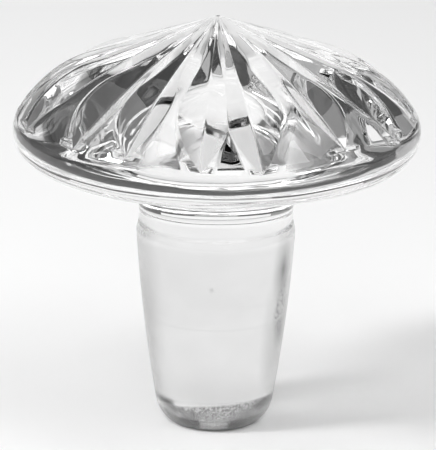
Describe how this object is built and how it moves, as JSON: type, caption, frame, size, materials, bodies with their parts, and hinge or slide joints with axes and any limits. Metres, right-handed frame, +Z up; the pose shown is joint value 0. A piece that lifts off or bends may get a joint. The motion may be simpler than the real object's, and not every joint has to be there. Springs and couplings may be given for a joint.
{
  "type": "decanter stopper",
  "caption": "Solid clear glass mushroom stopper: a domed head with radial V cuts meeting at its point, a short polished neck and a ground tapered shank.",
  "frame": {"origin": "middle of the flat end of the shank, which the stopper stands on", "axes": "+Z up along the stopper's axis towards the point of the head, -Y towards the front of the picture, +X to its right"},
  "size_m": [0.057, 0.057, 0.0589],
  "materials": {
    "clear_glass": "clear, polished head and neck, ground shank"
  },
  "bodies": {
    "root": {"stopper": "clear_glass"}
  },
  "joints": []
}
